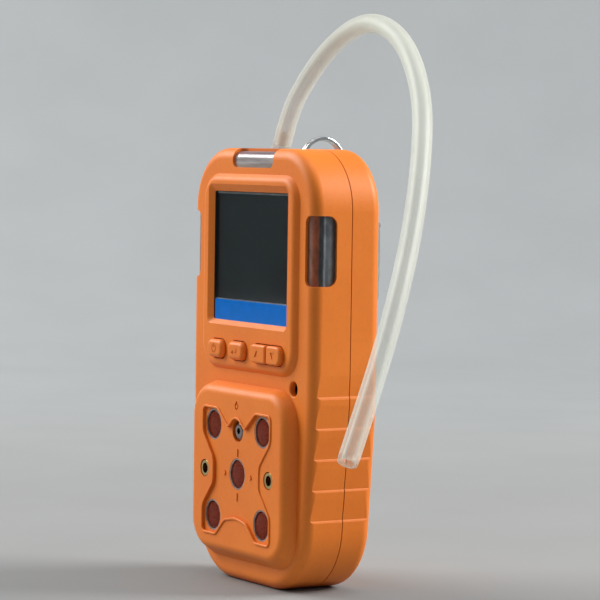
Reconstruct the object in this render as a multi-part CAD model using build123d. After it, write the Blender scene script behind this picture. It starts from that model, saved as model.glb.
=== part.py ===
from build123d import *
from math import atan, cos, degrees, radians, sin, tan
import os

# Portable multi-gas detector with a sampling hose, in millimetres.
# +X is the user's right, +Y points from the front face into the case, +Z is up.
# The origin is the centre of the flat bottom face.

# ---- case ----
HALF_W = 38.3            # half width of the upper case
FOOT_HALF_W = 33.3       # half width where the tapered sides would meet the bottom
HEIGHT = 138.3
TAPER_Z = 58.0           # the sides taper in below this height
FRONT_Y = -12.35
BACK_Y = 12.35
SPLIT_Y = 1.35           # parting plane of the two shells
SEAL_T = 0.3
WALL = 2.0
TOP_R = 19.0
FOOT_R = 22.0
EDGE_R = 3.5             # rounding of the front and back edges
GRIP_Z = (62.0, 52.3, 42.7, 33.0, 23.4)
GRIP_DEPTH = 0.3
GRIP_RUN = 8.0           # height over which a step fades out upwards
GRIP_LIP = 0.9           # height of the sloping ledge below a step

# ---- screen and bezel ----
BEZEL_HALF_W = 29.7
BEZEL_Z = (67.5, 130.1)
BEZEL_R = 8.5
BEZEL_SLOPE = 1.5        # the bezel's sides lean in by this much
BEZEL_Y = -14.0
BEZEL_RIM_R = 2.2        # rounding of the bezel's rim
SCREEN_HALF_W = 23.4
SCREEN_Z = (83.2, 124.5)
MOUTH_HALF_W = 25.3      # the screen opening where it meets the bezel's front
MOUTH_Z = (81.7, 126.8)
SCREEN_Y = -12.6         # front of the window glass
GLASS_T = 1.4
GLASS_LIP = 2.4
LABEL_Z = (82.1, 89.7)

# ---- buttons ----
BUTTON_Z = (71.0, 76.9)
BUTTON_Y = -15.8
BUTTON_GAP = 0.3
BUTTON_R = 2.5
BUTTONS = {
    "button_power": (-22.4, -12.7),
    "button_enter": (-9.2, 0.8),
    "button_up": (4.9, 14.9),
    "button_down": (15.5, 23.9),
}

# ---- sensor cover ----
COVER_HALF_W = 30.4
COVER_Z = (7.0, 63.4)
COVER_R = 11.0
COVER_TOP_HALF_W = 29.2
COVER_TOP_Z = (10.4, 61.8)
COVER_Y = -17.0
COVER_RIM_R = 3.0
RECESS = 0.6
BEAD_W = 0.8             # bead round the sunk field
BEAD_H = 0.4
BEAD_R = 0.3
MARK_H = 0.3             # small raised marks round the middle port
COVER_T = 2.0
PORT_R = 5.0
PORT_RING_T = 0.5
PORTS = ((-15.5, 49.7), (15.5, 49.7), (-15.5, 20.5), (15.5, 20.5), (0.0, 35.1))
COVER_SCREW = (0.0, 48.8)
SCREW_WELL_R = 3.45
SCREW_WELL = 2.2         # its depth below the sunk field
INSERTS = ((-20.3, 35.1), (20.3, 35.1))
INSERT_R = 2.85
INSERT_HOLE_R = 1.65
SOUND_HOLE = (27.2, 64.1)
SOUND_HOLE_R = 2.3

# ---- lamp windows ----
SIDE_LAMP_Z = (96.2, 117.9)
SIDE_LAMP_X = 33.2
SIDE_LAMP_Y = -4.05
TOP_LAMP_HALF_W = 12.8
TOP_LAMP_Z = 132.2
TOP_LAMP_Y = -7.6
LENS_SINK = 0.9

# ---- fastenings ----
CASE_SCREWS = ((-30.5, 122.0), (30.5, 122.0), (-29.0, 25.0), (29.0, 25.0))
BOARD_SCREWS = ((-24.0, 129.5), (24.0, 129.5), (-31.0, 69.0), (31.0, 69.0))

# ---- belt clip ----
CLIP_HALF_W = 11.0
CLIP_T = 1.2
CLIP_Z = (60.0, 112.0)
PIVOT = (20.0, 93.0)     # y and z of the clip's pin
PIN_R = 1.5
PIN_CLEAR = 0.05
EAR_X = 8.0
CLIP_SCREWS = ((-4.0, 105.0), (4.0, 105.0), (0.0, 70.0))

# ---- strap ring ----
RING_C = (13.3, 134.3)   # y and z of its centre
RING_R = 8.0
RING_WIRE = 1.3
RING_COIL_W = 1.12
RING_HALF_W = 1.2
STRAP_PIN_R = 1.25
LEAN = 15.0              # the ring's centre lies this far below level from the pin
RING_SWING = 75.0
ARM = RING_R - RING_WIRE - STRAP_PIN_R - 0.3
STRAP_PIN = (RING_C[0] - ARM * cos(radians(LEAN)), RING_C[1] + ARM * sin(radians(LEAN)))

# ---- hose ----
NOZZLE = (-15.0, 7.0)
NOZZLE_STEM_R = 2.2
NOZZLE_COLLAR_R = 3.3
NOZZLE_SINK = 3.0        # depth of the seat in the top face
HOSE_R = 3.0
HOSE_BORE_R = 2.1
HOSE_ROUTE = (
    (-15.0, 7.0, 138.9),
    (-13.8, 9.0, 149.8),
    (-8.8, 11.9, 160.0),
    (1.0, 13.6, 169.4),
    (14.0, 13.8, 175.8),
    (30.0, 12.0, 178.2),
    (47.0, 9.6, 175.0),
    (64.0, 5.4, 166.5),
    (81.0, -1.4, 152.3),
    (95.0, -10.8, 135.2),
    (107.0, -21.2, 116.0),
    (117.5, -32.5, 97.5),
    (126.5, -45.0, 76.5),
    (134.5, -58.8, 54.0),
)

# ---- inside ----
CAVITY_Y = FRONT_Y + WALL
MAIN_BOARD_Y = (-5.6, -4.0)
PUMP = (-15.0, 3.6)      # x and y of the pump's motor axis
PUMP_Z = (80.0, 98.0, 114.0)
BUZZ = (20.0, 4.0, 104.0)


def upright(y):
    """The plane at a depth in which x and z outlines are drawn."""
    return Plane(origin=(0, y, 0), x_dir=(1, 0, 0), z_dir=(0, -1, 0))


def slab(sketch, y_front, y_back):
    """Thicken an outline drawn in x and z between two depths."""
    return extrude(upright(y_back) * sketch, amount=y_back - y_front)


def block(x, y, z):
    """A box given by its limits along x, y and z."""
    centre = ((x[0] + x[1]) / 2, (y[0] + y[1]) / 2, (z[0] + z[1]) / 2)
    return Pos(*centre) * Box(x[1] - x[0], y[1] - y[0], z[1] - z[0])


def rod(x, z, radius, y_front, y_back):
    """A round bar along y."""
    return slab(Pos(x, z) * Circle(radius), y_front, y_back)


def cross_rod(y, z, radius, x_low, x_high):
    """A round bar along x."""
    plane = Plane(origin=(x_low, 0, 0), x_dir=(0, 1, 0), z_dir=(1, 0, 0))
    return extrude(plane * (Pos(y, z) * Circle(radius)), amount=x_high - x_low)


def side_slab(sketch, x_low, x_high):
    """Thicken an outline drawn in y and z between two values of x."""
    plane = Plane(origin=(x_low, 0, 0), x_dir=(0, 1, 0), z_dir=(1, 0, 0))
    return extrude(plane * sketch, amount=x_high - x_low)


def top_slab(sketch, z_low, z_high):
    """Thicken an outline drawn in x and y between two heights."""
    return extrude(Pos(0, 0, z_low) * sketch, amount=z_high - z_low)


def rounded(x, z, radius):
    """A rounded rectangle given by its limits."""
    face = RectangleRounded(x[1] - x[0], z[1] - z[0], radius)
    return Pos((x[0] + x[1]) / 2, (z[0] + z[1]) / 2) * face


def case_outline(inset=0.0):
    """The case seen from the front, or the same outline moved inwards."""
    corners = [
        (-FOOT_HALF_W, 0), (FOOT_HALF_W, 0), (HALF_W, TAPER_Z),
        (HALF_W, HEIGHT), (-HALF_W, HEIGHT), (-HALF_W, TAPER_Z),
    ]
    face = make_face(Polyline(*corners, close=True))
    feet = [v for v in face.vertices() if v.Y < 1]
    face = fillet(feet, FOOT_R)
    tops = [v for v in face.vertices() if v.Y > HEIGHT - 1]
    face = fillet(tops, TOP_R)
    waists = [v for v in face.vertices() if abs(v.Y - TAPER_Z) < 0.01]
    face = fillet(waists, 90.0)
    if inset:
        face = offset(face, amount=-inset)
    return face


def side_x(z):
    """Half width of the case at a height, without the rounding at its waist."""
    return FOOT_HALF_W + (HALF_W - FOOT_HALF_W) * min(z / TAPER_Z, 1.0)


def grip_steps():
    """Wedges that cut the ledges of the finger grip out of both sides."""
    cuts = []
    for z in GRIP_Z:
        x = side_x(z)
        for side in (-1, 1):
            wedge = Polyline(
                (side * (side_x(z + GRIP_RUN) + 0.05), z + GRIP_RUN),
                (side * (x - GRIP_DEPTH), z + 0.35),
                (side * (x - GRIP_DEPTH + 0.15), z),
                (side * (x + 0.1), z - GRIP_LIP),
                (side * (x + 2.5), z - GRIP_LIP),
                (side * (x + 2.5), z + GRIP_RUN),
                close=True,
            )
            cuts.append(slab(make_face(wedge), FRONT_Y - 1, BACK_Y + 1))
    return cuts


def rounded_half(inset, y_far, y_near, edge_r):
    """Half of the case's outer form: its far face has rounded edges."""
    half = slab(case_outline(inset), min(y_far, y_near), max(y_far, y_near))
    rim = [e for e in half.edges() if abs(e.center().Y - y_far) < 0.01]
    return fillet(rim, edge_r)


def side_lamp_cut(side):
    """Space of a side lamp window, which wraps from the front round to the side."""
    low, high = SIDE_LAMP_Z
    seen_side = side_slab(rounded((FRONT_Y - 9, SIDE_LAMP_Y), (low, high), 3.0), -60, 60)
    limits = sorted((side * SIDE_LAMP_X, side * (HALF_W + 9)))
    seen_front = slab(rounded(limits, (low, high), 2.4), FRONT_Y - 9, 0)
    return seen_side & seen_front


def top_lamp_cut():
    """Space of the top lamp window, which wraps from the front over the top."""
    wide = (-TOP_LAMP_HALF_W, TOP_LAMP_HALF_W)
    seen_front = slab(rounded(wide, (TOP_LAMP_Z, HEIGHT + 9), 2.2), FRONT_Y - 9, 0)
    seen_top = top_slab(rounded(wide, (FRONT_Y - 9, TOP_LAMP_Y), 2.2), 100, HEIGHT + 9)
    return seen_front & seen_top


def lens(cut):
    """A clear lens that fills a lamp window a little below the case's skin."""
    outer = rounded_half(LENS_SINK, FRONT_Y + LENS_SINK, SPLIT_Y, EDGE_R - LENS_SINK)
    inner = slab(case_outline(WALL + 0.4), CAVITY_Y + 0.4, SPLIT_Y)
    return (outer - inner) & cut


def bezel():
    """Raised frame round the screen and buttons, with soft sloping sides."""
    height = FRONT_Y - BEZEL_Y
    foot = rounded((-BEZEL_HALF_W, BEZEL_HALF_W), BEZEL_Z, BEZEL_R)
    lean = degrees(atan(BEZEL_SLOPE / height))
    frame = extrude(upright(FRONT_Y) * foot, amount=height, taper=lean)
    rim = [e for e in frame.edges() if abs(e.center().Y - BEZEL_Y) < 0.01]
    return fillet(rim, BEZEL_RIM_R) + slab(foot, FRONT_Y, FRONT_Y + 1)


def front_shell():
    body = rounded_half(0, FRONT_Y, SPLIT_Y - SEAL_T / 2, EDGE_R)
    body = body + bezel()
    body = body - slab(case_outline(WALL), CAVITY_Y, SPLIT_Y)
    for x, z in CASE_SCREWS:
        body = body + rod(x, z, 3.2, CAVITY_Y - 0.5, SPLIT_Y - SEAL_T / 2)
    for x, z in BOARD_SCREWS:
        body = body + rod(x, z, 2.4, CAVITY_Y - 0.5, MAIN_BOARD_Y[0])
    screw_x, screw_z = COVER_SCREW
    body = body + rod(screw_x, screw_z, 3.2, CAVITY_Y - 0.5, -5.0)
    body = body - screen_opening()
    body = body - button_openings()
    for side in (-1, 1):
        bay = rounded(sorted((side * 4.0, side * 27.0)), (10.2, 60.2), 4.0)
        body = body - slab(bay, FRONT_Y - 1, CAVITY_Y + 1)
        body = body - side_lamp_cut(side)
    body = body - top_lamp_cut()
    body = body - rod(*SOUND_HOLE, SOUND_HOLE_R, FRONT_Y - 1, CAVITY_Y + 1)
    mouth = [e for e in body.edges() if abs(e.center().Y - FRONT_Y) < 0.01
             and abs(e.center().X - SOUND_HOLE[0]) < SOUND_HOLE_R + 0.1
             and abs(e.center().Z - SOUND_HOLE[1]) < SOUND_HOLE_R + 0.1]
    body = fillet(mouth, 0.5)
    for x, z in CASE_SCREWS:
        body = body - rod(x, z, 1.3, -8.0, SPLIT_Y)
    for x, z in BOARD_SCREWS:
        body = body - rod(x, z, 0.9, -10.0, 0)
    body = body - rod(screw_x, screw_z, 1.3, FRONT_Y - 1, 0)
    for cut in grip_steps():
        body = body - cut
    return body


def screen_opening():
    """The sloping screen opening and the rebate that holds the window."""
    low, high = SCREEN_Z
    inner = rounded((-SCREEN_HALF_W, SCREEN_HALF_W), (low, high), 0.8)
    outer = rounded((-MOUTH_HALF_W, MOUTH_HALF_W), MOUTH_Z, 2.2)
    funnel = loft([upright(SCREEN_Y) * inner, upright(BEZEL_Y - 0.01) * outer])
    half = SCREEN_HALF_W + GLASS_LIP + 0.1
    seat = rounded((-half, half), (low - GLASS_LIP - 0.1, high + GLASS_LIP + 0.1), 1.5)
    through = slab(inner, SCREEN_Y - 0.1, CAVITY_Y + 1)
    return funnel + slab(seat, SCREEN_Y, CAVITY_Y + 1) + through


def button_outline(name):
    """Outline of one button; the joined pair is flat where the two meet."""
    left, right = BUTTONS[name]
    whole = rounded((left, right), BUTTON_Z, BUTTON_R)
    if name == "button_up":
        return whole + rounded((left + 4, right), BUTTON_Z, 0.9)
    if name == "button_down":
        return whole + rounded((left, right - 4), BUTTON_Z, 0.9)
    return whole


def button_openings():
    """Openings for the buttons: the last two share one."""
    low, high = BUTTON_Z
    cuts = None
    for first, last in (("button_power",) * 2, ("button_enter",) * 2, ("button_up", "button_down")):
        limits = (BUTTONS[first][0] - BUTTON_GAP, BUTTONS[last][1] + BUTTON_GAP)
        hole = rounded(limits, (low - BUTTON_GAP, high + BUTTON_GAP), BUTTON_R + BUTTON_GAP)
        cut = slab(hole, BEZEL_Y - 1, CAVITY_Y + 1)
        cuts = cut if cuts is None else cuts + cut
    return cuts


def button_icon(name):
    """The generic mark pressed into a button's face."""
    left, right = BUTTONS[name]
    x = (left + right) / 2
    z = (BUTTON_Z[0] + BUTTON_Z[1]) / 2
    if name == "button_power":
        ring = Circle(1.35) - Circle(1.0) - Pos(0, 1.2) * Rectangle(1.1, 1.4)
        mark = ring + Pos(0, 1.05) * Rectangle(0.35, 1.5)
    elif name == "button_enter":
        mark = Pos(0.2, -0.5) * Rectangle(2.4, 0.35) + Pos(1.25, 0.1) * Rectangle(0.35, 1.5)
        head = Polyline((-1.9, -0.5), (-0.8, 0.3), (-0.8, -1.3), close=True)
        mark = mark + make_face(head)
    else:
        up = 1 if name == "button_up" else -1
        head = Polyline((-1.3, -1.0 * up), (1.3, -1.0 * up), (0, 1.2 * up), close=True)
        mark = make_face(head)
    return slab(Pos(x, z) * mark, BUTTON_Y - 1, BUTTON_Y + 0.25)


def button(name):
    flange_y = (CAVITY_Y + 0.15, CAVITY_Y + 0.95)
    stem = slab(button_outline(name), BUTTON_Y, flange_y[1])
    rim = [e for e in stem.edges() if abs(e.center().Y - BUTTON_Y) < 0.01]
    stem = fillet(rim, 1.4 if name in ("button_power", "button_enter") else 0.8)
    left, right = BUTTONS[name]
    left = left if name == "button_down" else left - 0.8
    right = right if name == "button_up" else right + 0.8
    flange = rounded((left, right), (BUTTON_Z[0] - 0.8, BUTTON_Z[1] + 0.8), 1.0)
    return stem + slab(flange, *flange_y) - button_icon(name)


def rear_shell():
    body = rounded_half(0, BACK_Y, SPLIT_Y + SEAL_T / 2, EDGE_R)
    body = body - slab(case_outline(WALL), SPLIT_Y, BACK_Y - WALL)
    for x, z in CASE_SCREWS:
        body = body + rod(x, z, 4.2, SPLIT_Y + SEAL_T / 2, BACK_Y - 1)
    body = body + block((-5.4, 5.4), (SPLIT_Y + SEAL_T / 2, 11.0), (123.4, 137.0))
    nozzle_x, nozzle_y = NOZZLE
    boss = Pos(nozzle_x, nozzle_y) * Circle(4.6) & rounded((-30, 0), (2.0, 10.8), 0.5)
    body = body + top_slab(boss, 133.0, HEIGHT - 0.5)
    for x, z in CLIP_SCREWS:
        body = body + rod(x, z, 2.6, 6.6, BACK_Y - 0.5)
    for x, z in CASE_SCREWS:
        body = body - rod(x, z, 1.6, 0, BACK_Y + 1)
        body = body - rod(x, z, 3.1, BACK_Y - 3.0, BACK_Y + 1)
    body = body - strap_notch()
    pin_y, pin_z = STRAP_PIN
    body = body - cross_rod(pin_y, pin_z, STRAP_PIN_R, -4.6, 4.6)
    drill = Pos(nozzle_x, nozzle_y) * Circle(NOZZLE_STEM_R + 0.1)
    body = body - top_slab(drill, 120, HEIGHT + 1)
    sink = Pos(nozzle_x, nozzle_y) * Circle(NOZZLE_COLLAR_R + 0.3)
    body = body - top_slab(sink, HEIGHT - NOZZLE_SINK, HEIGHT + 1)
    for x, z in CLIP_SCREWS:
        body = body - rod(x, z, 1.05, 7.4, BACK_Y + 1)
    for side in (-1, 1):
        contact = Pos(side * 5.0, 6.5) * Circle(1.6)
        body = body - top_slab(contact, -1, WALL + 1)
    for cut in grip_steps():
        body = body - cut
    return body


def strap_notch():
    """The slot across the top back edge in which the strap ring swings."""
    y, z = RING_C
    reach = RING_R + 0.45
    swung = radians(RING_SWING - LEAN)
    up_y = STRAP_PIN[0] + ARM * cos(swung)
    up_z = STRAP_PIN[1] + ARM * sin(swung)
    swept = Pos(y, z) * Circle(reach) + Pos(up_y, up_z) * Circle(reach)
    return side_slab(swept, -2.0, 2.0)


def case_seal():
    ring = case_outline(0.45) - case_outline(1.75)
    return slab(ring, SPLIT_Y - SEAL_T / 2, SPLIT_Y + SEAL_T / 2)


def pan_screw(x, z, y_seat, head_r, head_h, shank_r, y_tip, slot=True):
    """A screw driven from behind: its head stands towards +y."""
    screw = rod(x, z, shank_r, y_tip, y_seat) + rod(x, z, head_r, y_seat, y_seat + head_h)
    if slot:
        cross = Rectangle(head_r * 1.3, 0.5) + Rectangle(0.5, head_r * 1.3)
        screw = screw - slab(Pos(x, z) * cross, y_seat + head_h * 0.45, y_seat + head_h)
    return screw


def case_screws():
    seat = BACK_Y - 3.0
    return [pan_screw(x, z, seat, 2.75, 2.0, 1.25, -6.5) for x, z in CASE_SCREWS]


def board_screws():
    seat = MAIN_BOARD_Y[1]
    return [pan_screw(x, z, seat, 1.7, 1.2, 0.85, -9.0) for x, z in BOARD_SCREWS]


def soft_outline(corners):
    """A face from corners given as x, z and the radius that rounds each."""
    face = make_face(Polyline(*[(x, z) for x, z, radius in corners], close=True))
    for x, z, radius in corners:
        here = [v for v in face.vertices() if abs(v.X - x) < 0.01 and abs(v.Y - z) < 0.01]
        face = fillet(here, radius)
    return face


def cover_recess():
    """Sunk field round the ports: it arches over the screw and narrows at the inserts."""
    arch_top = (0.0, COVER_SCREW[1] + 4.85, 3.75)
    right = [
        (5.3, 49.3, 1.0), (12.2, 54.9, 3.0), (21.2, 54.9, 1.4),
        (21.2, 47.0, 4.0), (14.2, 39.0, 5.0), (14.2, 31.2, 5.0), (21.2, 23.4, 4.0),
        (21.2, 15.0, 1.4), (12.8, 15.0, 2.5), (7.0, 20.3, 5.0),
    ]
    arch_low = (0.0, 21.5, 12.0)
    left = [(-x, z, radius) for x, z, radius in reversed(right)]
    return soft_outline([arch_top] + right + [arch_low] + left)


def cover_bead():
    """A rounded bead that stands up all round the sunk field."""
    field = cover_recess()
    crest = COVER_Y - BEAD_H
    bead = slab(offset(field, amount=BEAD_W) - field, crest, COVER_Y + 0.3)
    return fillet([e for e in bead.edges() if abs(e.center().Y - crest) < 0.01], BEAD_R)


def sensor_cover():
    base = rounded((-COVER_HALF_W, COVER_HALF_W), COVER_Z, COVER_R)
    top = rounded((-COVER_TOP_HALF_W, COVER_TOP_HALF_W), COVER_TOP_Z, COVER_R - 1)
    body = loft([upright(FRONT_Y) * base, upright(COVER_Y) * top])
    rim = [e for e in body.edges() if abs(e.center().Y - COVER_Y) < 0.01]
    body = fillet(rim, COVER_RIM_R)
    floor_y = COVER_Y + COVER_T
    body = body - slab(rounded((-26.8, 26.8), (12.6, 59.2), 8.0), floor_y, FRONT_Y)
    for x, z in INSERTS:
        body = body + rod(x, z, INSERT_R + 1.2, floor_y - 0.5, FRONT_Y)
    screw_x, screw_z = COVER_SCREW
    body = body + rod(screw_x, screw_z, 4.4, floor_y - 0.5, FRONT_Y)
    recess_y = COVER_Y + RECESS
    body = body + cover_bead()
    body = body - slab(cover_recess(), COVER_Y - 1, recess_y)
    for x, z in PORTS:
        body = body - rod(x, z, PORT_R, COVER_Y - 1, FRONT_Y)
    for x, z in INSERTS:
        body = body - rod(x, z, INSERT_R, COVER_Y - 1, FRONT_Y - 0.4)
    body = body - rod(screw_x, screw_z, SCREW_WELL_R, COVER_Y - 1, recess_y + SCREW_WELL)
    body = body - rod(screw_x, screw_z, 1.5, COVER_Y - 1, FRONT_Y)
    for z in (41.9, 27.9):
        body = body + slab(Pos(0, z) * Rectangle(0.6, 2.5), recess_y - MARK_H, recess_y + 0.2)
    for x in (-8.2, 8.2):
        body = body + rod(x, 34.9, 0.8, recess_y - MARK_H, recess_y + 0.2)
    drop = Pos(0, 56.6) * Circle(1.1) + Pos(0, 57.3) * Rotation(0, 0, 45) * Rectangle(1.5, 1.5)
    return body - slab(drop - Pos(0, 56.6) * Circle(0.55), COVER_Y - 1, COVER_Y + 0.35)


def cover_screw():
    """Button-head screw, driven from the front, that holds the sensor cover."""
    x, z = COVER_SCREW
    seat = COVER_Y + RECESS + SCREW_WELL
    front = seat - 1.9
    head = rod(x, z, SCREW_WELL_R - 0.2, front, seat)
    head = fillet([e for e in head.edges() if abs(e.center().Y - front) < 0.01], 1.4)
    socket = slab(Pos(x, z) * RegularPolygon(1.1, 6), front - 1, seat - 0.7)
    return head + rod(x, z, 1.25, seat, -5.4) - socket


def threaded_inserts():
    pieces = []
    for x, z in INSERTS:
        front = COVER_Y + 0.2
        body = rod(x, z, INSERT_R, front, FRONT_Y - 0.4)
        body = chamfer([e for e in body.edges() if abs(e.center().Y - front) < 0.01], 0.35)
        pieces.append(body - rod(x, z, INSERT_HOLE_R, front - 1, FRONT_Y))
    return pieces


def sensor_gasket():
    plate = rounded((-26.5, 26.5), (12.9, 58.9), 7.7)
    for x, z in PORTS:
        plate = plate - Pos(x, z) * Circle(6.6)
    for x, z in INSERTS:
        plate = plate - Pos(x, z) * Circle(INSERT_R + 1.4)
    plate = plate - Pos(*COVER_SCREW) * Circle(4.6)
    return slab(plate, COVER_Y + COVER_T, FRONT_Y - 0.05)


def port_rings():
    rings = []
    for x, z in PORTS:
        front = COVER_Y + RECESS + 0.1
        ring = rod(x, z, PORT_R - 0.02, front, COVER_Y + COVER_T + 0.55)
        rings.append(ring - rod(x, z, PORT_R - PORT_RING_T, front - 1, 0))
    return rings


def port_filters():
    front = COVER_Y + COVER_T + 0.55
    return [rod(x, z, 6.4, front, front + 0.4) for x, z in PORTS]


def gas_sensor(x, z):
    """An electrochemical cell: a can with a sunk membrane and three pins."""
    front = FRONT_Y
    can = rod(x, z, 10.0, front, -1.6)
    can = fillet([e for e in can.edges() if abs(e.center().Y - front) < 0.01], 0.8)
    can = can - rod(x, z, 4.0, front - 1, front + 0.5)
    for turn in (90, 210, 330):
        pin_x = x + 6.7 * cos(radians(turn))
        pin_z = z + 6.7 * sin(radians(turn))
        can = can + rod(pin_x, pin_z, 0.7, -1.7, 1.1)
    return can


def sensor_board():
    plate = slab(rounded((-25.6, 25.6), (9.5, 61.0), 2.0), -1.3, 0.3)
    for x, z in PORTS[:4]:
        for turn in (90, 210, 330):
            pin_x = x + 6.7 * cos(radians(turn))
            pin_z = z + 6.7 * sin(radians(turn))
            plate = plate - rod(pin_x, pin_z, 0.8, -2, 1)
    return plate


def screen_window():
    half = SCREEN_HALF_W + GLASS_LIP
    limits = (SCREEN_Z[0] - GLASS_LIP, SCREEN_Z[1] + GLASS_LIP)
    return slab(rounded((-half, half), limits, 1.4), SCREEN_Y, SCREEN_Y + GLASS_T)


def label_strip():
    behind = SCREEN_Y + GLASS_T
    strip = rounded((-SCREEN_HALF_W - 0.6, SCREEN_HALF_W + 0.6), LABEL_Z, 0.3)
    return slab(strip, behind, behind + 0.15)


def lcd_panel():
    behind = SCREEN_Y + GLASS_T + 0.15
    return slab(rounded((-24.9, 24.9), (81.1, 126.4), 0.8), behind, behind + 2.9)


def keypad_mat():
    """Rubber mat with one dome under each button."""
    mat = slab(rounded((-24.0, 27.5), (69.8, 78.6), 1.5), -7.2, MAIN_BOARD_Y[0])
    for left, right in BUTTONS.values():
        dome = rod((left + right) / 2, 73.95, 2.2, -8.2, -7.1)
        mat = mat + dome
    return mat


def main_board():
    plate = rounded((-34.0, 34.0), (64.5, 132.5), 9.0)
    for x, z in CASE_SCREWS[:2]:
        plate = plate - Pos(x, z) * Circle(3.6)
    for x, z in BOARD_SCREWS:
        plate = plate - Pos(x, z) * Circle(0.9)
    board = slab(plate, *MAIN_BOARD_Y)
    chips = ((0, 100, 6, 6), (12, 88, 4, 5), (-13, 92, 3.5, 4.5), (14, 112, 3, 5), (22, 76, 5, 3))
    for x, z, half_w, half_h in chips:
        chip = ((x - half_w, x + half_w), (MAIN_BOARD_Y[1] - 0.1, -2.8), (z - half_h, z + half_h))
        board = board + block(*chip)
    return board


def alarm_leds():
    """Lamps on the board's edge behind the three clear windows."""
    lamps = []
    for side in (-1, 1):
        for z in (101.0, 107.0, 113.0):
            x = sorted((side * 31.2, side * 33.6))
            lamps.append(block(x, (-7.4, MAIN_BOARD_Y[0]), (z - 1.4, z + 1.4)))
    for x in (-7.0, 0.0, 7.0):
        z = (129.4, 131.8)
        lamps.append(block((x - 1.4, x + 1.4), (-7.4, MAIN_BOARD_Y[0]), z))
    return lamps


def buzzer():
    x, z = 24.5, 64.6
    can = rod(x, z, 4.6, -9.8, MAIN_BOARD_Y[0])
    return can - rod(x, z, 1.0, -10, -9.0)


def vibration_motor():
    x, y, z = BUZZ
    can = cross_rod(y, z, 3.0, x - 6, x + 3)
    return can - cross_rod(y, z, 0.55, x, x + 4)


def vibration_weight():
    """A shaft with a half-round weight on it."""
    x, y, z = BUZZ
    half = Circle(2.7) & Pos(0, 1.5) * Rectangle(6, 3)
    weight = side_slab(Pos(y, z) * (half + Circle(1.0)), x + 3.4, x + 6.4)
    return weight + cross_rod(y, z, 0.5, x + 0.3, x + 6.0)


def battery_pack():
    """A flat cell below and a contact block above, wrapped in film."""
    cell = block((-24.5, 24.5), (1.9, 9.9), (12.0, 62.5))
    cell = fillet(cell.edges().filter_by(Axis.Z), 2.5)
    return cell + block((-9.0, 9.0), (3.0, 8.6), (62.0, 66.0))


def pump_body():
    x, y = PUMP
    low, high = PUMP_Z[1], PUMP_Z[2]
    body = block((x - 7.5, x + 7.5), (y - 5.8, y + 6.2), (low, high))
    body = fillet(body.edges().filter_by(Axis.Z), 1.5)
    chamber = Pos(x, y) * Circle(4.6)
    body = body - top_slab(chamber, low - 1, high - 6.0)
    port = Pos(*NOZZLE) * Circle(1.7)
    return body + top_slab(port, high - 0.1, high + 4.0)


def pump_diaphragm():
    disc = Pos(*PUMP) * Circle(4.5)
    return top_slab(disc, PUMP_Z[2] - 7.2, PUMP_Z[2] - 6.0)


def pump_motor():
    can = top_slab(Pos(*PUMP) * Circle(5.6), PUMP_Z[0], PUMP_Z[1])
    return can - top_slab(Pos(*PUMP) * Circle(0.8), PUMP_Z[1] - 6, PUMP_Z[1] + 1)


def pump_crank():
    """The motor's shaft with the eccentric that works the diaphragm."""
    x, y = PUMP
    shaft = top_slab(Pos(x, y) * Circle(0.75), PUMP_Z[1] - 5.5, PUMP_Z[1] + 4.0)
    disc = top_slab(Pos(x, y) * Circle(3.4), PUMP_Z[1] + 1.2, PUMP_Z[1] + 4.0)
    throw = top_slab(Pos(x + 1.6, y) * Circle(1.2), PUMP_Z[1] + 3.9, PUMP_Z[1] + 7.0)
    return shaft + disc + throw


def nozzle_plane():
    """The hose's first cross-section: it leans back a little from the top face."""
    lean = Vector(*HOSE_ROUTE[1]) - Vector(*HOSE_ROUTE[0])
    return Plane(origin=HOSE_ROUTE[0], z_dir=lean)


def inlet_nozzle():
    """Barbed spigot on the top face; the hose is pushed over it."""
    spot = Pos(*NOZZLE)
    mouth = nozzle_plane()
    stem = top_slab(spot * Circle(NOZZLE_STEM_R), HEIGHT - 8.0, HEIGHT - 1.0)
    collar = extrude(mouth * Circle(NOZZLE_COLLAR_R), amount=-1.9)
    spigot = extrude(mouth * Circle(1.8), amount=5.0)
    barb = mouth * Pos(0, 0, 4.0) * Cone(2.05, 1.8, 1.6)
    bore = top_slab(spot * Circle(1.1), HEIGHT - 9.0, HEIGHT - 0.5)
    upper_bore = mouth * Pos(0, 0, 2.5) * Cylinder(1.1, 7.0)
    return stem + collar + spigot + barb - bore - upper_bore


def nozzle_seal():
    height = HEIGHT - NOZZLE_SINK + 0.45
    return Pos(NOZZLE[0], NOZZLE[1], height) * Torus(NOZZLE_STEM_R + 0.5, 0.45)


def internal_tube():
    """Soft tube from the nozzle's lower end to the pump's port."""
    bore = top_slab(Pos(*NOZZLE) * Circle(1.75), PUMP_Z[2] + 0.3, HEIGHT - 8.2)
    tube = top_slab(Pos(*NOZZLE) * Circle(2.6), PUMP_Z[2] + 0.3, HEIGHT - 8.2)
    return tube - bore


def hose_radii():
    """The bend radius at each inner point of the route."""
    points = [Vector(*p) for p in HOSE_ROUTE]
    radii = []
    for before, here, after in zip(points, points[1:], points[2:]):
        turn = (here - before).get_angle(after - here)
        run = min((here - before).length, (after - here).length)
        radii.append(0.45 * run / tan(radians(turn / 2)))
    return radii


def sample_hose():
    """Clear tube that rises from the nozzle, arches over and hangs free."""
    path = FilletPolyline(*HOSE_ROUTE, radius=hose_radii())
    section = Circle(HOSE_R) - Circle(HOSE_BORE_R)
    return sweep(nozzle_plane() * section, path=path), path.length


def charging_contacts():
    """Two sprung contact pins let into the bottom face."""
    pins = []
    for side in (-1, 1):
        spot = Pos(side * 5.0, 6.5)
        pin = top_slab(spot * Circle(1.55), 0.15, 3.4)
        pins.append(pin + top_slab(spot * Circle(2.4), WALL + 0.05, 3.4))
    return pins


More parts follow.
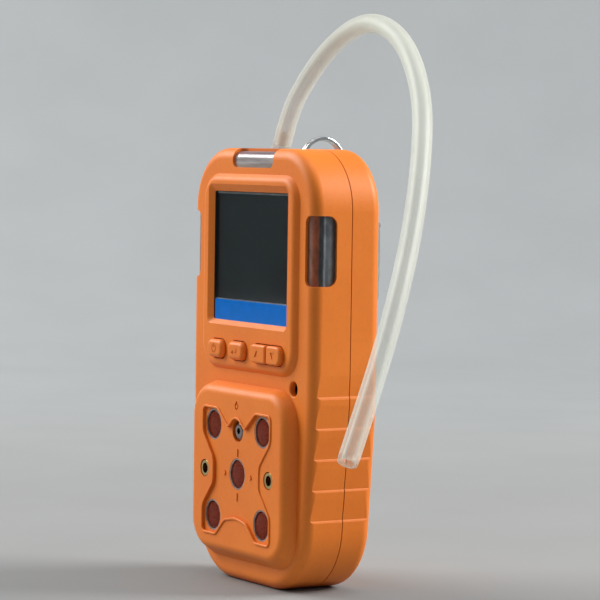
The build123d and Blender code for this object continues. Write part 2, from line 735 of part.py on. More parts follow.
def clip_plate():
    """Base of the belt clip with the two ears that carry its pin."""
    base = slab(rounded((-CLIP_HALF_W, CLIP_HALF_W), CLIP_Z, 3.0), BACK_Y, BACK_Y + CLIP_T)
    y, z = PIVOT
    web = Polyline((BACK_Y + 0.2, z - 8), (y, z - 4), (y, z + 4), (BACK_Y + 0.2, z + 8), close=True)
    ear = make_face(web) + Pos(y, z) * Circle(4.0) - Pos(y, z) * Circle(PIN_R)
    for side in (-1, 1):
        limits = sorted((side * EAR_X, side * (EAR_X + CLIP_T)))
        base = base + side_slab(ear, *limits)
    for x, z in CLIP_SCREWS:
        base = base - rod(x, z, 1.2, BACK_Y - 1, BACK_Y + 5)
    return base


def clip_screws():
    seat = BACK_Y + CLIP_T
    return [pan_screw(x, z, seat, 2.0, 0.9, 1.0, 7.8) for x, z in CLIP_SCREWS]


def clip_pin():
    y, z = PIVOT
    reach = EAR_X + CLIP_T + 0.6
    pin = cross_rod(y, z, PIN_R, -reach, reach)
    heads = cross_rod(y, z, 2.1, -reach - 0.6, -EAR_X - CLIP_T)
    return pin + heads + cross_rod(y, z, 2.1, EAR_X + CLIP_T, reach + 0.6)


def clip_lever():
    """Sprung jaw: thumb plate above the pin, gripping plate below it."""
    y, z = PIVOT
    line = [(28.6, 114.6), (28.9, 104.0), (28.5, 91.0), (20.6, 73.0), (15.2, 64.5), (15.4, 61.5)]
    inner = [(28.6 - CLIP_T, 114.4), (28.9 - CLIP_T, 104.0), (28.5 - CLIP_T, 91.4),
             (20.6 - CLIP_T, 73.6), (15.2 - CLIP_T, 64.6), (15.4 - CLIP_T, 61.5)]
    profile = make_face(Polyline(*line, *reversed(inner), close=True))
    plate = side_slab(profile, -CLIP_HALF_W, CLIP_HALF_W)
    plate = plate + cross_rod(27.9, 114.2, 1.1, -CLIP_HALF_W, CLIP_HALF_W)
    web = Polyline((26.6, z - 5), (28.0, z + 7), (y, z + 3.0), (y, z - 3.0), close=True)
    ear = make_face(web) + Pos(y, z) * Circle(3.0) - Pos(y, z) * Circle(PIN_R + PIN_CLEAR)
    for side in (-1, 1):
        limits = sorted((side * 6.4, side * 7.4))
        plate = plate + side_slab(ear, *limits)
    return plate


def clip_spring():
    """Torsion spring round the pin, with a leg that bears on the base plate."""
    y, z = PIVOT
    wire = 0.45
    turns = []
    for step in range(-4, 5):
        coil = Pos(step * 1.15, y, z) * Rotation(0, 90, 0) * Torus(2.45, wire)
        turns.append(coil)
    leg = block((4.2, 5.0), (BACK_Y + CLIP_T, y), (z + 2.1, z + 2.9))
    bridge = cross_rod(y, z - 2.45, 0.35, -4.6, 4.6)
    spring = turns[0]
    for coil in turns[1:]:
        spring = spring + coil
    return spring + bridge + leg


def strap_pin():
    y, z = STRAP_PIN
    return cross_rod(y, z, STRAP_PIN_R - 0.01, -4.5, 4.5)


def split_ring():
    """Two flat coils side by side, joined where the wire crosses over."""
    y, z = RING_C
    hoop = Circle(RING_R) - Circle(RING_R - RING_WIRE)
    ring = None
    for low in (-RING_HALF_W, RING_HALF_W - RING_COIL_W):
        coil = side_slab(Pos(y, z) * hoop, low, low + RING_COIL_W)
        coil = fillet(coil.edges(), 0.3)
        ring = coil if ring is None else ring + coil
    cross = hoop & Pos(0, -RING_R) * Rectangle(5.0, 2 * RING_WIRE + 1.0)
    return ring + side_slab(Pos(y, z) * cross, -0.6, 0.6)


def write(name, shape):
    if isinstance(shape, list):
        shape = Compound(children=shape)
    export_step(shape, "parts/" + name + ".step")


def main():
    os.makedirs("parts", exist_ok=True)
    write("front_shell", front_shell())
    write("rear_shell", rear_shell())
    write("case_seal", case_seal())
    write("case_screws", case_screws())
    write("board_screws", board_screws())
    write("sensor_cover", sensor_cover())
    write("cover_screw", cover_screw())
    write("threaded_inserts", threaded_inserts())
    write("sensor_gasket", sensor_gasket())
    write("port_rings", port_rings())
    write("port_filters", port_filters())
    for number, (x, z) in enumerate(PORTS[:4], 1):
        write("gas_sensor_" + str(number), gas_sensor(x, z))
    write("sensor_board", sensor_board())
    write("screen_window", screen_window())
    write("label_strip", label_strip())
    write("lcd_panel", lcd_panel())
    write("keypad_mat", keypad_mat())
    for name in BUTTONS:
        write(name, button(name))
    write("main_board", main_board())
    write("left_lamp_lens", lens(side_lamp_cut(-1)))
    write("right_lamp_lens", lens(side_lamp_cut(1)))
    write("top_lamp_lens", lens(top_lamp_cut()))
    write("alarm_leds", alarm_leds())
    write("buzzer", buzzer())
    write("vibration_motor", vibration_motor())
    write("vibration_weight", vibration_weight())
    write("battery_pack", battery_pack())
    write("pump_body", pump_body())
    write("pump_diaphragm", pump_diaphragm())
    write("pump_motor", pump_motor())
    write("pump_crank", pump_crank())
    write("inlet_nozzle", inlet_nozzle())
    write("nozzle_seal", nozzle_seal())
    write("internal_tube", internal_tube())
    write("charging_contacts", charging_contacts())
    write("clip_plate", clip_plate())
    write("clip_screws", clip_screws())
    write("clip_pin", clip_pin())
    write("clip_lever", clip_lever())
    write("clip_spring", clip_spring())
    write("strap_pin", strap_pin())
    write("split_ring", split_ring())
    hose, length = sample_hose()
    write("sample_hose", hose)
    print("hose radii", [round(r) for r in hose_radii()], "length", round(length, 1))
    section = 3.14159 * (HOSE_R ** 2 - HOSE_BORE_R ** 2)
    print("hose volume", round(hose.volume), "section x length", round(section * length))


main()
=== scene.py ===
import math

import bmesh
import bpy
from mathutils import Matrix, Quaternion, Vector


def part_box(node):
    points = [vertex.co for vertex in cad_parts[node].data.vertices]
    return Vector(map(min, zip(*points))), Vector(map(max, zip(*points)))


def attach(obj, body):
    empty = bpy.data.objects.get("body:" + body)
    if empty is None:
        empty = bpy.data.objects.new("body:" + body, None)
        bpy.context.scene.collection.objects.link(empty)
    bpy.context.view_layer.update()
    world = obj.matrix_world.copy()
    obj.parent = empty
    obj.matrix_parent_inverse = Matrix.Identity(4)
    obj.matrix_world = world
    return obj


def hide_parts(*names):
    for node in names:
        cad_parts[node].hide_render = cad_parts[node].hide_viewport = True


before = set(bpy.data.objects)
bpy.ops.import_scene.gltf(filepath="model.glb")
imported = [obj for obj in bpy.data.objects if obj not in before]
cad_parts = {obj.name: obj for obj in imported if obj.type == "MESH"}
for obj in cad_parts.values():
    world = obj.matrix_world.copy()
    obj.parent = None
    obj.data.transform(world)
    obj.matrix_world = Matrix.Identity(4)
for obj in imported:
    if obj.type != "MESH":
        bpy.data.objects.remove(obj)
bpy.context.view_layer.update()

MM = 0.001
CASE = "case"

# ---- camera: a long lens at the height of the case's top face ----
EYE = Vector((0.7955, -0.4684, 0.1386))
TURN = 59.2              # degrees from straight in front, round to the right
DIP = 3.0                # degrees down
ROLL = 0.84              # degrees that the camera is tipped anticlockwise, seen from behind it
LENS = 174.0             # millimetres, like the sensor's width
SENSOR = 36.0
CLIP_START = 0.05

# ---- hose: the route's points, the same as in the CAD source ----
HOSE_R = 3.0 * MM
HOSE_BORE_R = 2.1 * MM
HOSE_LIP = 0.18 * MM     # how far its cut ends are rounded
BARB_AT = 5.0 * MM       # distance along the hose to the nozzle's barb
BARB_SWELL = 0.10 * MM   # how much wider the hose is over the barb
BARB_RUN = 1.6 * MM      # how soon that fades out along the hose
HOSE_ROUTE = (
    (-0.0150, 0.0070, 0.1389),
    (-0.0138, 0.0090, 0.1498),
    (-0.0088, 0.0119, 0.1600),
    (0.0010, 0.0136, 0.1694),
    (0.0140, 0.0138, 0.1758),
    (0.0300, 0.0120, 0.1782),
    (0.0470, 0.0096, 0.1750),
    (0.0640, 0.0054, 0.1665),
    (0.0810, -0.0014, 0.1523),
    (0.0950, -0.0108, 0.1352),
    (0.1070, -0.0212, 0.1160),
    (0.1175, -0.0325, 0.0975),
    (0.1265, -0.0450, 0.0765),
    (0.1345, -0.0588, 0.0540),
)

# ---- ports (x and z of each), with the filter domes that stand in them ----
PORTS = ((-0.0155, 0.0497), (0.0155, 0.0497), (-0.0155, 0.0205), (0.0155, 0.0205), (0.0, 0.0351))
DOME_R = 4.4 * MM
DOME_STEP = 1.3 * MM     # height of a dome's straight side
DOME_RISE = 0.5 * MM     # height of its rounded cap

# ---- the display's pale edge lines ----
LINE_HALF_W = 23.2 * MM
LINE_TOP_Z = (123.7 * MM, 124.3 * MM)
LINE_LOW_H = 0.3 * MM
LINE_INSET = 0.02 * MM   # how far a line lies inside the printed strip's thickness

# ---- floor and backdrop ----
FLOOR_NEAR = -6.0        # its edge on the camera's side of the object
BEND_AT = 0.9            # where it starts to curve up, behind the object
BEND_R = 0.5
BEND_STEPS = 16
BACKDROP_H = 2.4
FLOOR_HALF_W = 6.0
SHADE_START = 0.25       # painted shade: the floor is painted darker on the camera's side and paler with distance over this stretch
SHADE_RUN = 0.7
NEAR_GREY = (0.255, 0.26, 0.26)
FAR_GREY = (0.35, 0.365, 0.375)

# ---- the clear lamp windows, painted as bands: the parts behind them, mixed with painted reflections, highlights and shade ----
# An axis holds the weights of the size of x, of y and of z. The bands run along it.
# Each band is a place from 0 to 1 and the colour there.
SIDE_AXIS = (0.5112, 0.8593, 0.0)
SIDE_START = 7.1 * MM
SIDE_RUN = 8.5 * MM
TOP_AXIS = (0.0, 0.0, 1.0)
TOP_START = 132.2 * MM
TOP_RUN = 5.2 * MM
SIDE_INSIDE_AND_SHEEN_BANDS = (
    (0.00, (0.19, 0.080, 0.045)),
    (0.10, (0.24, 0.140, 0.115)),
    (0.22, (0.40, 0.095, 0.032)),
    (0.34, (0.34, 0.085, 0.035)),
    (0.42, (0.045, 0.036, 0.036)),
    (0.54, (0.035, 0.042, 0.045)),
    (0.60, (0.25, 0.25, 0.27)),
    (0.66, (0.09, 0.11, 0.13)),
    (0.84, (0.16, 0.155, 0.15)),
    (0.95, (0.06, 0.045, 0.04)),
)
TOP_INSIDE_AND_SHEEN_BANDS = (
    (0.00, (0.26, 0.26, 0.24)),
    (0.20, (0.32, 0.31, 0.29)),
    (0.30, (0.44, 0.41, 0.41)),
    (0.50, (0.40, 0.37, 0.37)),
    (0.60, (0.46, 0.43, 0.43)),
    (0.74, (0.36, 0.31, 0.30)),
    (0.82, (0.24, 0.14, 0.15)),
    (1.00, (0.20, 0.12, 0.13)),
)

# ---- studio light ----
AIM = (0, 0, 0.08)       # near the middle of the object's height
WARM = (1.0, 0.985, 0.96)
SKY = (0.78, 0.84, 0.88)
SKY_STRENGTH = 0.36


# ---------------------------------------------------------------- materials

class Graph:
    """A material's node graph, with short calls for the nodes used here."""

    def __init__(self, name, base, rough, metal=0.0):
        self.mat = bpy.data.materials.new(name)
        self.mat.use_nodes = True
        self.nodes = self.mat.node_tree.nodes
        self.links = self.mat.node_tree.links
        self.shader = self.nodes["Principled BSDF"]
        self.set("Base Color", (*base, 1.0))
        self.set("Roughness", rough)
        self.set("Metallic", metal)
        self.coords = self.nodes.new("ShaderNodeTexCoord").outputs["Object"]

    def set(self, socket, value):
        self.shader.inputs[socket].default_value = value

    def join(self, out, socket):
        self.links.new(out, self.shader.inputs[socket])

    def noise(self, scale, detail=3.0, rough=0.5, stretch=None):
        node = self.nodes.new("ShaderNodeTexNoise")
        node.inputs["Scale"].default_value = scale
        node.inputs["Detail"].default_value = detail
        node.inputs["Roughness"].default_value = rough
        source = self.coords
        if stretch:
            mapping = self.nodes.new("ShaderNodeMapping")
            mapping.inputs["Scale"].default_value = stretch
            self.links.new(source, mapping.inputs["Vector"])
            source = mapping.outputs["Vector"]
        self.links.new(source, node.inputs["Vector"])
        return node.outputs["Fac"]

    def cells(self, scale):
        node = self.nodes.new("ShaderNodeTexVoronoi")
        node.inputs["Scale"].default_value = scale
        self.links.new(self.coords, node.inputs["Vector"])
        return node.outputs["Distance"]

    def ramp(self, fac, low, high, at=(0.35, 0.65)):
        """Maps a value to colours between two stops."""
        node = self.nodes.new("ShaderNodeValToRGB")
        node.color_ramp.elements[0].position = at[0]
        node.color_ramp.elements[1].position = at[1]
        node.color_ramp.elements[0].color = (*low, 1.0)
        node.color_ramp.elements[1].color = (*high, 1.0)
        self.links.new(fac, node.inputs["Fac"])
        return node.outputs["Color"]

    def bands(self, fac, stops):
        """Maps a value from 0 to 1 to a row of colours given as (position, colour)."""
        node = self.nodes.new("ShaderNodeValToRGB")
        marks = node.color_ramp.elements
        marks[0].position, marks[1].position = stops[0][0], stops[-1][0]
        for stop in stops[1:-1]:
            marks.new(stop[0])
        for mark, stop in zip(marks, stops):
            mark.color = (*stop[1], 1.0)
        self.links.new(fac, node.inputs["Fac"])
        return node.outputs["Color"]

    def math(self, kind, first, second=None):
        """A sum on two values, each a socket or a float."""
        node = self.nodes.new("ShaderNodeMath")
        node.operation = kind
        for socket, value in zip(node.inputs, (first, second)):
            if isinstance(value, float):
                socket.default_value = value
            elif value is not None:
                self.links.new(value, socket)
        return node.outputs[0]

    def along(self, weights, start, run):
        """0 to 1 along a direction given by weights on the size of x, on y and on z."""
        parts = self.nodes.new("ShaderNodeSeparateXYZ")
        self.links.new(self.coords, parts.inputs[0])
        side = self.math("ABSOLUTE", parts.outputs[0])
        total = self.math("MULTIPLY", side, weights[0])
        total = self.math("ADD", total, self.math("MULTIPLY", parts.outputs[1], weights[1]))
        total = self.math("ADD", total, self.math("MULTIPLY", parts.outputs[2], weights[2]))
        return self.math("DIVIDE", self.math("SUBTRACT", total, start), run)

    def painted_floor_shade(self, away, start, run, near, far):
        """Painted shade: colour that goes from the near grey to the far grey along a level
        direction.
        """
        parts = self.nodes.new("ShaderNodeSeparateXYZ")
        self.links.new(self.coords, parts.inputs[0])
        reach = self.math("MULTIPLY", parts.outputs[0], away.x)
        reach = self.math("ADD", reach, self.math("MULTIPLY", parts.outputs[1], away.y))
        place = self.math("DIVIDE", self.math("SUBTRACT", reach, start), run)
        return self.ramp(place, near, far, (0.0, 1.0))

    def span(self, fac, low, high):
        """Maps 0 to 1 onto another range."""
        node = self.nodes.new("ShaderNodeMapRange")
        node.inputs["To Min"].default_value = low
        node.inputs["To Max"].default_value = high
        self.links.new(fac, node.inputs["Value"])
        return node.outputs["Result"]

    def multiply(self, first, second, amount=1.0):
        node = self.nodes.new("ShaderNodeMix")
        node.data_type = "RGBA"
        node.blend_type = "MULTIPLY"
        node.inputs["Factor"].default_value = amount
        self.links.new(first, node.inputs[6])
        self.links.new(second, node.inputs[7])
        return node.outputs[2]

    def painted_hollow_shade(self, reach, low, high):
        """Painted shade: colour that goes towards low in corners, grooves and between parts, where
        ambient occlusion finds shade.
        """
        node = self.nodes.new("ShaderNodeAmbientOcclusion")
        node.inputs["Distance"].default_value = reach
        node.samples = 8
        return self.ramp(node.outputs["AO"], low, high, (0.25, 0.85))

    def bump(self, height, strength, distance, under=None):
        node = self.nodes.new("ShaderNodeBump")
        node.inputs["Strength"].default_value = strength
        node.inputs["Distance"].default_value = distance
        self.links.new(height, node.inputs["Height"])
        if under is not None:
            self.links.new(under, node.inputs["Normal"])
        self.join(node.outputs["Normal"], "Normal")
        return node.outputs["Normal"]


def orange_plastic(name, grain, rough):
    g = Graph(name, (0.86, 0.215, 0.020), rough)
    cloud = g.ramp(g.noise(35, 4.0), (0.83, 0.202, 0.018), (0.89, 0.230, 0.024))
    speck = g.ramp(g.noise(900, 2.0), (0.96, 0.95, 0.94), (1.0, 1.0, 1.0), (0.3, 0.5))
    # Painted shade: the colour turns darker and redder in corners, grooves and between parts,
    # standing in for shade and for light bounced between the orange faces.
    painted_shade = g.painted_hollow_shade(0.0035, (0.80, 0.60, 0.50), (1.0, 1.0, 1.0))
    g.join(g.multiply(g.multiply(cloud, speck), painted_shade), "Base Color")
    g.join(g.span(g.noise(260, 3.0), rough - 0.05, rough + 0.07), "Roughness")
    fine = g.bump(g.noise(2600, 3.0, 0.6), grain, 0.00006)
    g.bump(g.noise(160, 2.0), 0.05, 0.0003, fine)
    g.set("Subsurface Weight", 0.06)
    g.set("Subsurface Radius", (0.9, 0.3, 0.1))
    g.set("Subsurface Scale", 0.0012)
    g.set("Specular IOR Level", 0.32)
    return g.mat


def dark_rubber(name, base=(0.035, 0.03, 0.028)):
    g = Graph(name, base, 0.75)
    high = tuple(c * 1.6 for c in base)
    g.join(g.ramp(g.noise(500, 4.0), base, high), "Base Color")
    g.bump(g.noise(1500, 4.0), 0.2, 0.00008)
    return g.mat


def metal(name, base, rough, wear=(1.0, 1.0, 1.0), streak=(1, 1, 1), depth=0.15):
    g = Graph(name, base, rough, 1.0)
    low = tuple(b * 0.82 * w for b, w in zip(base, wear))
    g.join(g.ramp(g.noise(240, 4.0), low, base), "Base Color")
    brushed = g.noise(900, 3.0, 0.6, streak)
    g.join(g.span(brushed, max(rough - 0.06, 0.03), rough + 0.12), "Roughness")
    g.bump(brushed, depth, 0.00002)
    return g.mat


def moulded(name, base, rough, scale=1200, depth=0.12):
    g = Graph(name, base, rough)
    low = tuple(c * 0.85 for c in base)
    g.join(g.ramp(g.noise(180, 4.0), low, base), "Base Color")
    g.join(g.span(g.noise(400, 3.0), rough - 0.05, rough + 0.08), "Roughness")
    g.bump(g.noise(scale, 3.0), depth, 0.00005)
    return g.mat


def screen_dark(name):
    g = Graph(name, (0.012, 0.021, 0.023), 0.45)
    cloud = g.noise(45, 5.0, 0.6)
    tint = g.ramp(cloud, (0.003, 0.008, 0.010), (0.010, 0.020, 0.022), (0.3, 0.75))
    g.join(tint, "Base Color")
    g.join(g.span(g.noise(700, 3.0), 0.40, 0.55), "Roughness")
    g.bump(g.noise(900, 3.0), 0.03, 0.00002)
    g.set("Specular IOR Level", 0.1)
    return g.mat


def clear_window(name, tint, rough, bend=1.49):
    g = Graph(name, tint, rough)
    g.set("Transmission Weight", 1.0)
    g.set("IOR", bend)
    g.join(g.span(g.noise(420, 4.0), rough * 0.6, rough * 1.8), "Roughness")
    g.bump(g.noise(90, 2.0), 0.04, 0.0001)
    return g.mat


def port_lining(name):
    """Cloudy clear ring that lines a port."""
    g = Graph(name, (0.40, 0.24, 0.20), 0.12)
    g.join(g.ramp(g.noise(380, 4.0), (0.30, 0.16, 0.13), (0.50, 0.33, 0.28)), "Base Color")
    g.join(g.span(g.noise(300, 3.0), 0.08, 0.2), "Roughness")
    g.bump(g.noise(260, 2.0), 0.05, 0.0001)
    g.set("Transmission Weight", 0.3)
    g.set("Coat Weight", 0.4)
    return g.mat


def printed_blue_with_painted_glow(name):
    g = Graph(name, (0.002, 0.47, 0.74), 0.5)
    g.join(g.ramp(g.noise(300, 3.0), (0.001, 0.45, 0.70), (0.003, 0.49, 0.78)), "Base Color")
    g.bump(g.noise(1800, 2.0), 0.05, 0.00003)
    g.set("Specular IOR Level", 0.2)
    # Painted glow: the printed strip gives off a little blue light of its own, though it is no lamp.
    g.set("Emission Color", (0.0, 0.18, 0.48, 1.0))
    g.set("Emission Strength", 0.4)
    return g.mat


def lens_with_painted_sheen(name, weights, start, run, stops, streak, rough=0.1):
    """Clear lamp window painted as bands of colour: the parts behind it, mixed with painted
    reflections, highlights and shade.
    """
    g = Graph(name, stops[0][1], rough)
    wobble = g.math("MULTIPLY", g.noise(160, 3.0), 0.10)
    place = g.math("ADD", g.along(weights, start, run), g.math("SUBTRACT", wobble, 0.05))
    dust = g.ramp(g.noise(420, 4.0, 0.6, streak), (0.6, 0.6, 0.6), (1.25, 1.25, 1.25), (0.35, 0.7))
    g.join(g.multiply(g.bands(place, stops), dust), "Base Color")
    g.join(g.span(g.noise(300, 3.0), rough * 0.7, rough * 1.6), "Roughness")
    g.bump(g.noise(120, 2.0), 0.05, 0.0001)
    g.set("Coat Weight", 0.6)
    g.set("Coat Roughness", 0.05)
    return g.mat


def sintered(name):
    g = Graph(name, (0.19, 0.020, 0.003), 0.45)
    grains = g.cells(1900)
    g.join(g.ramp(grains, (0.25, 0.029, 0.005), (0.12, 0.011, 0.002), (0.1, 0.7)), "Base Color")
    g.bump(grains, 0.12, 0.00004)
    g.set("Specular IOR Level", 0.06)
    g.set("Coat Weight", 0.12)
    g.set("Coat Roughness", 0.06)
    return g.mat


def milky_tube(name):
    """Clear soft tube: its wall looks denser where it is seen edge on."""
    g = Graph(name, (0.71, 0.73, 0.65), 0.4)
    g.join(g.ramp(g.noise(60, 4.0), (0.69, 0.71, 0.63), (0.73, 0.75, 0.67)), "Base Color")
    edge = g.nodes.new("ShaderNodeLayerWeight")
    edge.inputs["Blend"].default_value = 0.45
    g.join(g.span(edge.outputs["Facing"], 0.17, 0.60), "Alpha")
    g.set("Transmission Weight", 0.1)
    g.set("IOR", 1.42)
    g.set("Subsurface Weight", 0.2)
    g.set("Subsurface Radius", (1.0, 0.95, 0.8))
    g.set("Subsurface Scale", 0.002)
    g.set("Specular IOR Level", 0.3)
    g.join(g.span(g.noise(350, 3.0), 0.35, 0.5), "Roughness")
    g.bump(g.noise(120, 2.0), 0.02, 0.0001)
    return g.mat


def circuit_board(name):
    g = Graph(name, (0.012, 0.10, 0.035), 0.3)
    g.join(g.ramp(g.cells(420), (0.02, 0.16, 0.05), (0.008, 0.07, 0.025), (0.2, 0.5)), "Base Color")
    g.bump(g.cells(420), 0.2, 0.00008)
    return g.mat


def make_materials():
    orange = orange_plastic("orange_case", 0.22, 0.46)
    keys = orange_plastic("orange_keys", 0.10, 0.40)
    rubber = dark_rubber("seal_rubber")
    seam = dark_rubber("seam_rubber", (0.16, 0.045, 0.015))
    steel = metal("screw_steel", (0.55, 0.55, 0.54), 0.28, streak=(1, 6, 1))
    # Painted shade and reflection: a darker, reddish copy of the screw steel, standing in for the
    # shade in the screw's well and the orange case it mirrors.
    shaded_screw_steel = metal("cover_screw_steel", (0.26, 0.21, 0.20), 0.13, depth=0.08)
    brass = metal("insert_brass", (0.47, 0.37, 0.17), 0.20, (1.0, 0.9, 0.7))
    gold = metal("contact_gold", (0.85, 0.62, 0.25), 0.22)
    chrome = metal("clip_chrome", (0.78, 0.78, 0.78), 0.10, streak=(6, 1, 1), depth=0.08)
    satin = metal("clip_satin", (0.80, 0.80, 0.78), 0.30, streak=(6, 1, 1), depth=0.1)
    spring = metal("spring_steel", (0.42, 0.42, 0.42), 0.35)
    black = moulded("part_black", (0.02, 0.02, 0.02), 0.5)
    white = moulded("sensor_white", (0.62, 0.61, 0.57), 0.35)
    film = moulded("battery_film", (0.02, 0.08, 0.30), 0.25)
    lamp = clear_window("lamp_resin", (0.85, 0.80, 0.78), 0.2)
    lining = port_lining("port_lining")
    window = clear_window("window_clear", (0.93, 0.95, 0.95), 0.03, 1.2)
    side_lens = lens_with_painted_sheen("lens_side", SIDE_AXIS, SIDE_START, SIDE_RUN, SIDE_INSIDE_AND_SHEEN_BANDS, (1, 1, 0.5))
    top_lens = lens_with_painted_sheen("lens_top", TOP_AXIS, TOP_START, TOP_RUN, TOP_INSIDE_AND_SHEEN_BANDS, (0.12, 1, 1), 0.2)
    return {
        "front_shell": orange, "rear_shell": orange, "sensor_cover": orange,
        "button_power": keys, "button_enter": keys, "button_up": keys, "button_down": keys,
        "case_seal": seam, "keypad_mat": rubber, "sensor_gasket": rubber,
        "nozzle_seal": rubber, "pump_diaphragm": rubber,
        "case_screws": steel, "board_screws": steel, "cover_screw": shaded_screw_steel,
        "clip_screws": steel, "strap_pin": steel, "inlet_nozzle": milky_tube("nozzle_clear"),
        "threaded_inserts": brass, "charging_contacts": gold,
        "port_rings": lining, "port_filters": sintered("filter_maroon"),
        "gas_sensor_1": white, "gas_sensor_2": white, "gas_sensor_3": white,
        "gas_sensor_4": white,
        "sensor_board": circuit_board("board_green"), "main_board": circuit_board("board_main"),
        "screen_window": window, "label_strip": printed_blue_with_painted_glow("label_blue"),
        "lcd_panel": screen_dark("screen_dark"),
        "left_lamp_lens": side_lens, "right_lamp_lens": side_lens, "top_lamp_lens": top_lens,
        "alarm_leds": lamp, "buzzer": black, "pump_body": black,
        "vibration_motor": steel, "vibration_weight": steel,
        "pump_motor": steel, "pump_crank": steel,
        "battery_pack": film,
        "internal_tube": milky_tube("tube_inside"), "sample_hose": milky_tube("hose_clear"),
        "clip_plate": satin, "clip_lever": satin, "clip_pin": chrome,
        "clip_spring": spring, "split_ring": chrome,
    }


# ---------------------------------------------------------------- small tools

def add_piece(name, mesh, material, body=CASE):
    """A visible piece that moves with a body."""
    piece = bpy.data.objects.new(name, mesh)
    bpy.context.scene.collection.objects.link(piece)
    piece.data.materials.append(material)
    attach(piece, body)
    return piece


def finish_mesh(name, mesh_data, smooth=True):
    """Turns edit data into a mesh with smooth or flat faces."""
    mesh = bpy.data.meshes.new(name)
    mesh_data.to_mesh(mesh)
    mesh_data.free()
    for face in mesh.polygons:
        face.use_smooth = smooth
    return mesh


def join_rings(mesh_data, low, high, flip=False):
    """Faces between two rings that have the same number of corners."""
    for step in range(len(low)):
        after = (step + 1) % len(low)
        quad = [low[step], low[after], high[after], high[step]]
        mesh_data.faces.new(quad[::-1] if flip else quad)


# ---------------------------------------------------------------- small visible pieces

def make_port_domes(material):
    """Domed filter plugs that fill the ports behind their clear rings."""
    mesh_data = bmesh.new()
    rows = 6
    around = 32
    profile = [(DOME_R, 0.0), (DOME_R, DOME_STEP)]
    for row in range(1, rows):
        turn = math.pi / 2 * row / rows
        profile.append((DOME_R * math.cos(turn), DOME_STEP + DOME_RISE * math.sin(turn)))
    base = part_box("port_filters")[0].y
    for x, z in PORTS:
        rings = []
        for radius, lift in profile:
            ring = []
            for step in range(around):
                turn = 2 * math.pi * step / around
                place = (x + radius * math.cos(turn), base - lift, z + radius * math.sin(turn))
                ring.append(mesh_data.verts.new(place))
            rings.append(ring)
        tip = mesh_data.verts.new((x, base - DOME_STEP - DOME_RISE, z))
        for low, high in zip(rings, rings[1:]):
            join_rings(mesh_data, low, high)
        for step in range(around):
            mesh_data.faces.new((rings[-1][step], rings[-1][(step + 1) % around], tip))
        mesh_data.faces.new(rings[0][::-1])
    domes = add_piece("port_domes", finish_mesh("port_domes", mesh_data), material)


def make_box(name, low, high, material):
    """A box between two opposite corners."""
    mesh_data = bmesh.new()
    bmesh.ops.create_cube(mesh_data, size=1.0)
    low, high = Vector(low), Vector(high)
    for vert in mesh_data.verts:
        vert.co = Vector(((low + high)[i] / 2 + vert.co[i] * (high - low)[i] for i in range(3)))
    piece = add_piece(name, finish_mesh(name, mesh_data, smooth=False), material)


def make_screen_lines():
    """The pale edges of the display that show at its top and above the blue strip."""
    g = Graph("screen_line", (0.30, 0.32, 0.34), 0.5)
    g.join(g.ramp(g.noise(400, 3.0), (0.22, 0.24, 0.25), (0.34, 0.36, 0.38)), "Base Color")
    strip_low, strip_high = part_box("label_strip")
    front = strip_low.y + LINE_INSET
    back = strip_high.y - LINE_INSET
    line_low_z = (strip_high.z, strip_high.z + LINE_LOW_H)
    for name, (low, high) in (("line_top", LINE_TOP_Z), ("line_low", line_low_z)):
        make_box(name, (-LINE_HALF_W, front, low), (LINE_HALF_W, back, high), g.mat)


# ---------------------------------------------------------------- hose

def hose_line():
    """Points along the hose's own smooth spline."""
    curve = bpy.data.curves.new("hose_line", "CURVE")
    curve.dimensions = "3D"
    curve.resolution_u = 24
    spline = curve.splines.new("NURBS")
    spline.points.add(len(HOSE_ROUTE) - 1)
    for point, place in zip(spline.points, HOSE_ROUTE):
        point.co = (*place, 1.0)
    spline.order_u = 3
    spline.use_endpoint_u = True
    guide = bpy.data.objects.new("hose_line", curve)
    mesh = bpy.data.meshes.new_from_object(guide)
    points = [v.co.copy() for v in mesh.vertices]
    bpy.data.meshes.remove(mesh)
    bpy.data.objects.remove(guide)
    return points


def frames_along(points):
    """A cross-section frame at each point that doesn't twist."""
    ahead = [(b - a).normalized() for a, b in zip(points, points[1:])]
    ahead.append(ahead[-1])
    side = ahead[0].orthogonal().normalized()
    frames = []
    for before, now in zip([ahead[0]] + ahead, ahead):
        side = before.rotation_difference(now) @ side
        side = (side - now * side.dot(now)).normalized()
        frames.append((side, now.cross(side)))
    return frames


def make_hose(material):
    """Hollow tube with rounded lips, swollen a little over the nozzle's barb."""
    points = hose_line()
    frames = frames_along(points)
    around = 40
    mesh_data = bmesh.new()
    walked = 0.0
    outer = []
    inner = []
    for index, (point, (side, up)) in enumerate(zip(points, frames)):
        if index:
            walked += (point - points[index - 1]).length
        swell = BARB_SWELL * math.exp(-((walked - BARB_AT) / BARB_RUN) ** 2)
        lip = HOSE_LIP if index in (0, len(points) - 1) else 0.0
        for store, radius in ((outer, HOSE_R - lip), (inner, HOSE_BORE_R + lip)):
            ring = []
            for step in range(around):
                turn = 2 * math.pi * step / around
                ray = side * math.cos(turn) + up * math.sin(turn)
                ring.append(mesh_data.verts.new(point + ray * (radius + swell)))
            store.append(ring)
    for rings, flip in ((outer, False), (inner, True)):
        for low, high in zip(rings, rings[1:]):
            join_rings(mesh_data, low, high, flip)
    join_rings(mesh_data, outer[0], inner[0], flip=True)
    join_rings(mesh_data, outer[-1], inner[-1])
    hose = add_piece("hose_tube", finish_mesh("hose_tube", mesh_data), material)
    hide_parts("sample_hose")


# ---------------------------------------------------------------- stage

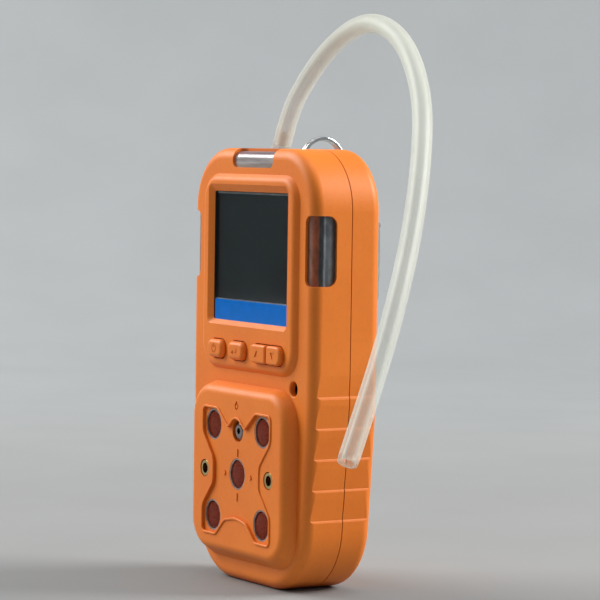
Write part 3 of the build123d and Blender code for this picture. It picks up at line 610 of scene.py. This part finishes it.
def make_camera():
    data = bpy.data.cameras.new("camera")
    data.lens = LENS
    data.sensor_width = SENSOR
    data.clip_start = CLIP_START
    camera = bpy.data.objects.new("camera", data)
    bpy.context.scene.collection.objects.link(camera)
    turn, dip = math.radians(TURN), math.radians(DIP)
    ahead = Vector((-math.sin(turn) * math.cos(dip), math.cos(turn) * math.cos(dip), -math.sin(dip)))
    look = ahead.to_track_quat("-Z", "Y")
    roll = Quaternion(ahead, math.radians(-ROLL))
    camera.matrix_world = Matrix.Translation(EYE) @ (roll @ look).to_matrix().to_4x4()
    bpy.context.scene.camera = camera


def area_light(name, place, target, size, power, colour=(1.0, 1.0, 1.0)):
    data = bpy.data.lights.new(name, "AREA")
    data.shape = "RECTANGLE"
    data.size, data.size_y = size
    data.energy = power
    data.color = colour
    light = bpy.data.objects.new(name, data)
    light.location = place
    light.rotation_euler = (Vector(target) - Vector(place)).to_track_quat("-Z", "Y").to_euler()
    bpy.context.scene.collection.objects.link(light)


def make_lights():
    area_light("left_box", (-1.05, -0.72, 0.95), AIM, (1.0, 1.0), 27, WARM)
    area_light("right_box", (0.55, 1.10, 0.85), AIM, (0.7, 0.7), 27, WARM)
    area_light("top_box", (0.1, 0.1, 1.5), AIM, (0.8, 0.8), 5)
    world = bpy.data.worlds.new("studio")
    world.use_nodes = True
    background = world.node_tree.nodes["Background"]
    background.inputs["Color"].default_value = (*SKY, 1.0)
    background.inputs["Strength"].default_value = SKY_STRENGTH
    bpy.context.scene.world = world
    bpy.context.scene.view_settings.view_transform = "Standard"


def make_stage():
    """A pale floor that curves up into a plain backdrop behind the object, with painted shade that
    darkens it on the camera's side.
    """
    g = Graph("pale_floor", (0.30, 0.31, 0.315), 0.7)
    away = Vector((-math.sin(math.radians(TURN)), math.cos(math.radians(TURN)), 0))
    grain = g.ramp(g.noise(14, 3.0), (0.96, 0.96, 0.96), (1.0, 1.0, 1.0))
    painted_shade = g.painted_floor_shade(away, SHADE_START, SHADE_RUN, NEAR_GREY, FAR_GREY)
    g.join(g.multiply(painted_shade, grain), "Base Color")
    across = Vector((away.y, -away.x, 0))
    profile = [(FLOOR_NEAR, 0.0), (BEND_AT, 0.0)]
    for step in range(1, BEND_STEPS + 1):
        turn = math.pi / 2 * step / BEND_STEPS
        profile.append((BEND_AT + BEND_R * math.sin(turn), BEND_R * (1 - math.cos(turn))))
    profile.append((BEND_AT + BEND_R, BACKDROP_H))
    mesh_data = bmesh.new()
    rows = []
    for reach, height in profile:
        row = []
        for wide in (-FLOOR_HALF_W, FLOOR_HALF_W):
            row.append(mesh_data.verts.new(away * reach + across * wide + Vector((0, 0, height))))
        rows.append(row)
    for low, high in zip(rows, rows[1:]):
        mesh_data.faces.new((low[0], low[1], high[1], high[0]))
    floor = bpy.data.objects.new("floor", finish_mesh("floor", mesh_data))
    floor.data.materials.append(g.mat)
    bpy.context.scene.collection.objects.link(floor)


# ---------------------------------------------------------------- main

def dress_cad_nodes(materials):
    for node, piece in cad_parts.items():
        piece.data.materials.clear()
        piece.data.materials.append(materials[node])


make_camera()
materials = make_materials()
make_hose(materials["sample_hose"])
make_port_domes(materials["port_filters"])
make_screen_lines()
dress_cad_nodes(materials)
make_stage()
make_lights()
